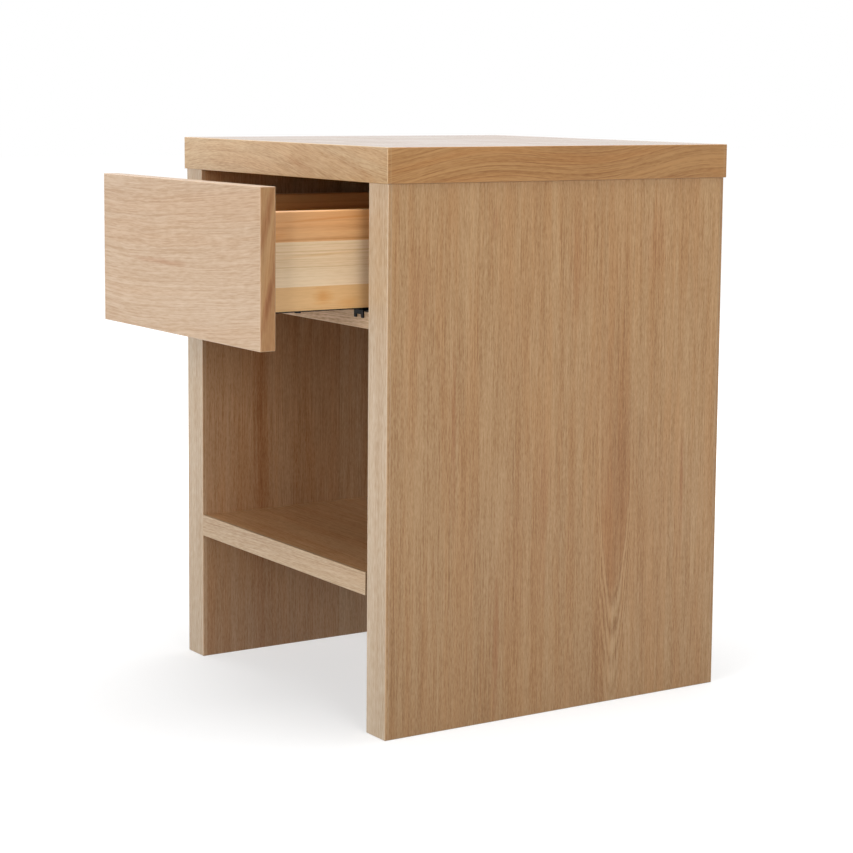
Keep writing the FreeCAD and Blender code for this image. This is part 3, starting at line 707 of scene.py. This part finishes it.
plywood = dict(pine, grain="level", tone=(0.74, 0.55, 0.33), ringWidth=24.0, bend=30.0, rings=0.3,
               roughness=(0.42, 0.56))
dressWood("drawer_bottom", "Drawer Bottom Plywood", plywood, 113.0)
beech = dict(pine, tone=(0.66, 0.45, 0.28), fibreWidth=0.6, rings=0.1, roughness=(0.6, 0.75), relief=0.4)
for node, grain in (("top_dowels", "upright"), ("divider_dowels", "level"),
                    ("drawer_box_dowels", "level")):
    dressWood(node, "Beech " + node.replace("_", " ").title(), dict(beech, grain=grain), 131.0)
print("nightstand: drawer box dressed")


# runners, screws and buffers
zincPlate = {
    "tone": (0.42, 0.42, 0.425), "metallic": 1.0, "specular": 0.5, "roughness": (0.24, 0.42),
    "clouds": (0.85, 1.25),    # what they make of the tone, from dark to pale
    "relief": 0.08, "reliefDepth": 0.0002, "peelSize": 0.5,
}
ballSteel = dict(zincPlate, tone=(0.72, 0.72, 0.73), roughness=(0.05, 0.12), relief=0.02, peelSize=0.3)
blackSteel = dict(zincPlate, tone=(0.005, 0.005, 0.005), metallic=0.0, specular=0.2,
                  roughness=(0.45, 0.6), relief=0.15, peelSize=0.9)
bufferPlastic = dict(zincPlate, tone=(0.02, 0.02, 0.021), metallic=0.0, roughness=(0.55, 0.75),
                     relief=0.3, peelSize=0.7)
crossHead = {  # in metres; a pair says where its edge begins to fade and where it is gone
    "headRadius": 0.0035, "armWidth": (0.0004, 0.0007), "armReach": (0.0018, 0.0022),
    # the tone is painted shade, the near black inside each cross
    "tone": (0.03, 0.03, 0.03, 1),
}
screwRows = {  # how many screws along x, y and z, and which of these they are driven along
    "back_screws": ((3, 1, 1), 1), "drawer_front_screws": ((2, 1, 2), 1),
    "drawer_bottom_screws": ((3, 1, 1), 2),
}


def crossRecess(tree, coords, box, counts, depthAxis, column, row):
    # 1 inside the cross pressed into each head; the screws stand in even rows within the box
    radius = crossHead["headRadius"]
    first = [low + radius for low in box[0]]
    steps = [(high - low - 2 * radius) / (count - 1) if count > 1 else 1.0
             for low, high, count in zip(*box, counts)]
    apart = vectorCalc(tree, "SUBTRACT", coords, first, column, row)
    nearest = put(tree, "VectorMath", column + 1, row, {
        0: apart, 1: [step / 2 for step in steps], 2: [-step / 2 for step in steps]},
        operation="WRAP").outputs[0]
    nearest = put(tree, "VectorMath", column + 2, row, {0: nearest}, operation="ABSOLUTE").outputs[0]
    parts = partsOf(tree, nearest, column + 3, row)
    one, other = [parts[i] for i in range(3) if i != depthAxis]
    narrow = reach(tree, calc(tree, "MINIMUM", one, other, column + 4, row), *crossHead["armWidth"],
                   1.0, 0.0, column + 5, row)
    near = reach(tree, calc(tree, "MAXIMUM", one, other, column + 4, row + 1), *crossHead["armReach"],
                 1.0, 0.0, column + 5, row + 1)
    return calc(tree, "MULTIPLY", narrow, near, column + 6, row)


def sprayMaterial(name, look, screws=None):
    # screws gives the box, the rows and the axis of screws that have a cross in their heads
    material, tree = newMaterial(name)
    coords = put(tree, "TexCoord", 0, 0).outputs["Object"]
    finish = place(tree, finishGroup, 1, 0, {"Vector": coords, "Peel Size": look["peelSize"]})
    low, high = look["roughness"]
    rough = reach(tree, finish["Clouds"], 0.0, 1.0, low, high, 2, 0)
    dark, pale = [shade(look["tone"], (factor, factor, factor)) for factor in look["clouds"]]
    colour = blend(tree, finish["Clouds"], dark, pale, 3, 0)
    if screws:
        recess = crossRecess(tree, coords, *screws, 1, 6)
        # painted shade: the cross in each head is coloured near black, for the shade inside the recess
        colour = blend(tree, recess, colour, crossHead["tone"], 8, 1)
    bump = put(tree, "Bump", 3, 2, {"Strength": look["relief"], "Distance": look["reliefDepth"],
                                    "Height": finish["Peel"]})
    shader = put(tree, "BsdfPrincipled", 9, 0, {
        "Base Color": colour, "Metallic": look["metallic"], "Roughness": rough,
        "Normal": bump.outputs[0], "Specular IOR Level": look["specular"]})
    endWith(tree, shader, 11)
    return material


for finishName, look, nodes in (
        ("Black Coated Steel", blackSteel, (
            "cabinet_rail_left", "cabinet_rail_right", "drawer_rail_left", "drawer_rail_right",
            "cabinet_rail_screws", "drawer_rail_screws")),
        ("Zinc Plated Steel", zincPlate, ("ball_cage_left", "ball_cage_right", "shelf_pins")),
        ("Ball Steel", ballSteel, ("runner_balls_left", "runner_balls_right")),
        ("Buffer Plastic", bufferPlastic, ("closing_bumpers",))):
    material = sprayMaterial(finishName, look)
    for node in nodes:
        dress(node, material)
for node, (counts, depthAxis) in screwRows.items():
    screwBox = tuple(tuple(corner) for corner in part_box(node))
    dress(node, sprayMaterial("Zinc " + node.replace("_", " ").title(), zincPlate,
                              (screwBox, counts, depthAxis)))
print("nightstand: metal dressed")


# floor, light and camera; lengths in metres
studio = {
    "floorSize": 30.0, "floorGap": 0.0002, "floorTone": (0.45, 0.45, 0.45, 1),
    "floorGlow": 0.52, "farGlow": 1.0, "fade": (0.5, 1.3),  # how far out the glow changes
    "worldLight": 0.08, "worldShown": 1.0, "white": (1, 1, 1, 1),
}
lamps = {  # place, side and power
    "key": ((0.75, -3.0, 1.05), 2.2, 108.0), "right": ((3.0, -0.45, 1.6), 1.4, 32.5),
    "top": ((0.0, 0.2, 2.9), 2.2, 86.0), "back": ((0.4, 3.2, 1.3), 2.2, 26.0),
    "left": ((-3.0, -0.4, 1.3), 2.0, 20.0),
}
lampAim = (0, 0, 0.3)
camera = {
    "place": (1.8917, -1.2120, 0.6049), "heading": 0.9899, "tilt": -0.1221, "roll": 0.0086,  # radians
    "lens": 93.57, "sensor": 36.0, "shift": -0.08, "clip": (0.05, 100.0),
}


def seenDirectly(tree):
    # 1 for what the camera sees, by itself, in a mirror or through glass
    path = put(tree, "LightPath", 0, 0).outputs
    seen = calc(tree, "MAXIMUM", path["Is Camera Ray"], path["Is Glossy Ray"], 1, 0)
    return calc(tree, "MAXIMUM", seen, path["Is Transmission Ray"], 2, 0)


def makeFloor():
    half = studio["floorSize"] / 2
    mesh = bpy.data.meshes.new("floor")
    mesh.from_pydata([(-half, -half, 0), (half, -half, 0), (half, half, 0), (-half, half, 0)], [],
                     [(0, 1, 2, 3)])
    floor = bpy.data.objects.new("floor", mesh)
    bpy.context.scene.collection.objects.link(floor)
    floor.location.z = cadBox[0][2] - studio["floorGap"]
    material, tree = newMaterial("Pale Floor")
    away = lengthOf(tree, put(tree, "TexCoord", -1, 2).outputs["Object"], 0, 2)
    near, far = studio["fade"]
    glow = reach(tree, away, near, far, studio["floorGlow"], studio["farGlow"], 2, 2)
    glow = calc(tree, "MULTIPLY", seenDirectly(tree), glow, 3, 0)
    plain = put(tree, "BsdfDiffuse", 3, 2, {"Color": studio["floorTone"]})
    light = put(tree, "Emission", 4, 0, {"Color": studio["white"], "Strength": glow})
    endWith(tree, put(tree, "AddShader", 5, 0, {0: plain.outputs[0], 1: light.outputs[0]}), 6)
    mesh.materials.append(material)


def makeWorld():
    world = bpy.data.worlds.new("White Studio")
    world.use_nodes = True
    tree = world.node_tree
    tree.nodes.clear()
    level = reach(tree, seenDirectly(tree), 0.0, 1.0, studio["worldLight"], studio["worldShown"], 3, 0)
    light = put(tree, "Background", 4, 0, {"Color": studio["white"], "Strength": level})
    put(tree, "OutputWorld", 5, 0, {"Surface": light.outputs[0]})
    bpy.context.scene.world = world


def makeLamp(name, spot, size, power):
    lamp = bpy.data.lights.new(name, "AREA")
    lamp.shape = "SQUARE"
    lamp.size = size
    lamp.energy = power
    holder = bpy.data.objects.new(name, lamp)
    holder.location = spot
    aim = Vector(lampAim) - Vector(spot)
    holder.rotation_mode = "QUATERNION"
    holder.rotation_quaternion = aim.to_track_quat("-Z", "Y")
    bpy.context.scene.collection.objects.link(holder)


def makeCamera():
    data = bpy.data.cameras.new("camera")
    data.sensor_width = camera["sensor"]
    data.lens = camera["lens"]
    data.shift_y = camera["shift"]
    data.clip_start, data.clip_end = camera["clip"]
    holder = bpy.data.objects.new("camera", data)
    turn = (Matrix.Rotation(camera["heading"], 4, "Z")
            @ Matrix.Rotation(math.pi / 2 + camera["tilt"], 4, "X")
            @ Matrix.Rotation(camera["roll"], 4, "Z"))
    holder.matrix_world = Matrix.Translation(camera["place"]) @ turn
    bpy.context.scene.collection.objects.link(holder)
    bpy.context.scene.camera = holder


makeFloor()
makeWorld()
for lampName, (spot, size, power) in lamps.items():
    makeLamp(lampName + " lamp", spot, size, power)
makeCamera()
bpy.context.scene.view_settings.view_transform = "Standard"
print("nightstand: studio set")
